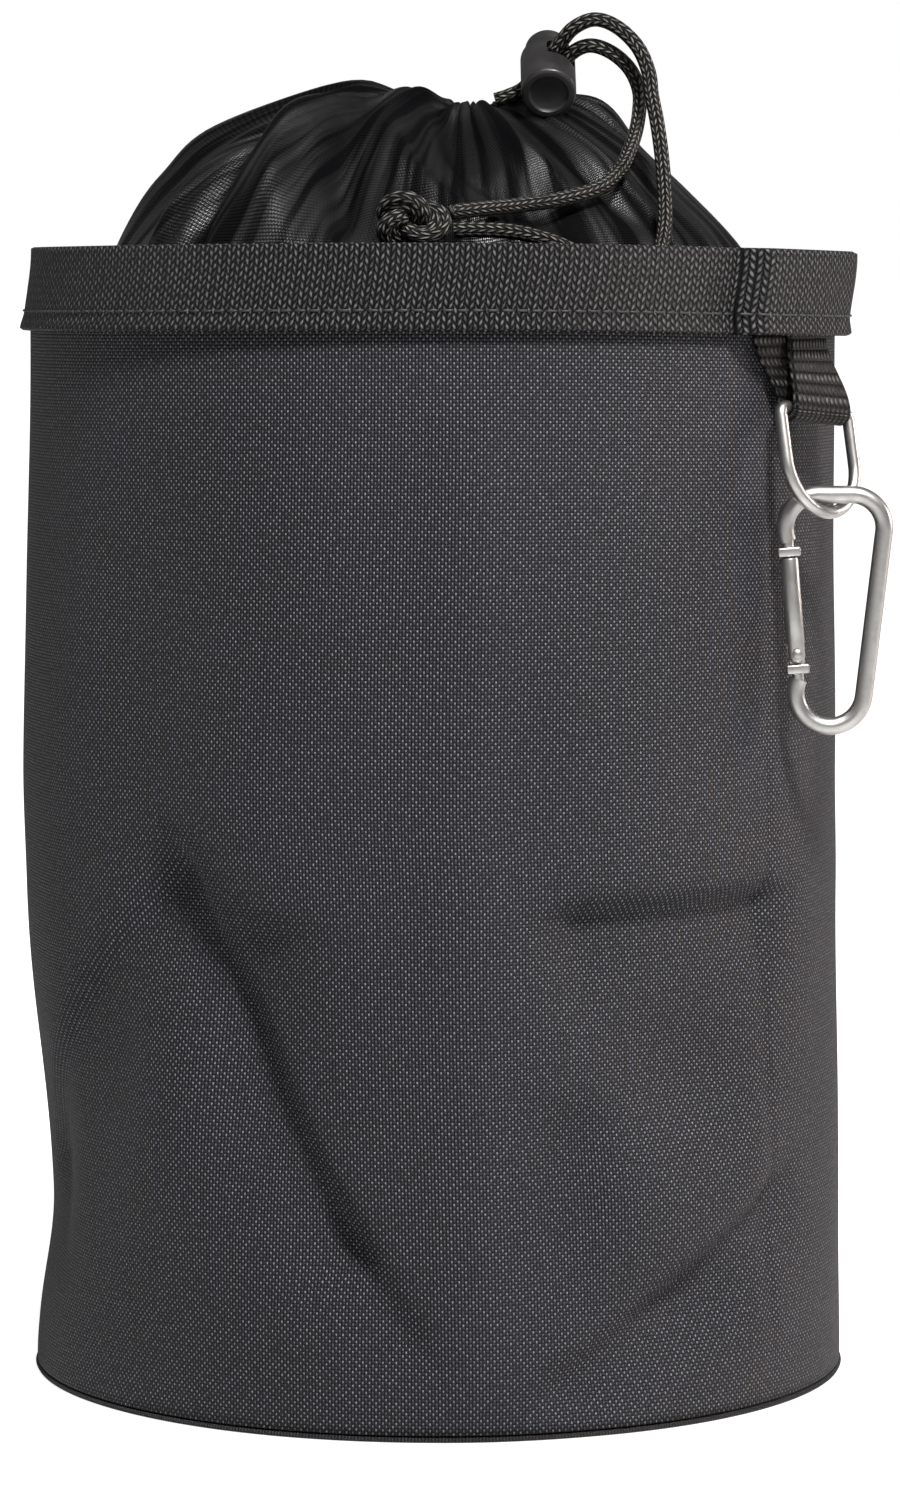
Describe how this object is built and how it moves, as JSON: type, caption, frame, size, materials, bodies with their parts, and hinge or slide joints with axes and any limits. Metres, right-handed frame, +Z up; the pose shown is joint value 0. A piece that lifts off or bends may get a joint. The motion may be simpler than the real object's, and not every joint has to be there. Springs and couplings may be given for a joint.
{
  "type": "clothespin bag",
  "caption": "Round standing cloth bag with a webbing rim, a gathered drawstring collar with a spring cord lock, and a snap hook on a ring in a side loop.",
  "frame": {"origin": "middle of the base's underside, where the bag stands", "axes": "+Z up, -Y towards the front that the picture shows, +X towards the side with the loop, ring and snap hook"},
  "size_m": [0.2089, 0.2014, 0.3307],
  "materials": {
    "coated_cloth": "charcoal oxford weave, matt with a faint sheen at grazing angles",
    "webbing": "black ribbed webbing, matt",
    "lining_cloth": "thin black nylon with a satin shine",
    "cord": "black braided cord",
    "lock_plastic": "dark moulded plastic, half gloss",
    "hardware_metal": "satin nickel-plated metal"
  },
  "bodies": {
    "bag": {"body_panel": "coated_cloth", "base_panel": "coated_cloth", "rim_band": "webbing", "collar": "lining_cloth", "cord_lock_barrel": "lock_plastic", "drawstring_a": "cord", "drawstring_b": "cord", "drawstring_knot": "cord", "webbing_loop": "webbing"},
    "ring": {"d_ring": "hardware_metal"},
    "carabiner": {"carabiner_frame": "hardware_metal", "gate_rivet": "hardware_metal"},
    "gate": {"carabiner_gate": "hardware_metal"},
    "plunger": {"cord_lock_plunger": "lock_plastic"}
  },
  "joints": [
    {"name": "d_ring_swing", "type": "hinge", "parent": "bag", "child": "ring", "pos_m": [0.08858, -0.05398, 0.2368], "axis": [-0.692, -0.7166, 0.0872], "range_deg": [0, 50]},
    {"name": "carabiner_swing", "type": "hinge", "parent": "ring", "child": "carabiner", "pos_m": [0.09144, -0.05965, 0.21293], "axis": [-0.692, -0.7166, 0.0872], "range_deg": [0, 60]},
    {"name": "gate_hinge", "type": "hinge", "parent": "carabiner", "child": "gate", "pos_m": [0.08436, -0.06015, 0.17979], "axis": [-0.0698, 0.9976, 0], "range_deg": [0, 30], "stiffness_Nm_per_rad": 0.05, "springref_deg": -17.19},
    {"name": "plunger_slide", "type": "slide", "parent": "bag", "child": "plunger", "axis": [0, -0.8704, -0.4924], "range_m": [0, 0.003], "stiffness_N_per_m": 500, "springref_m": -0.002}
  ]
}
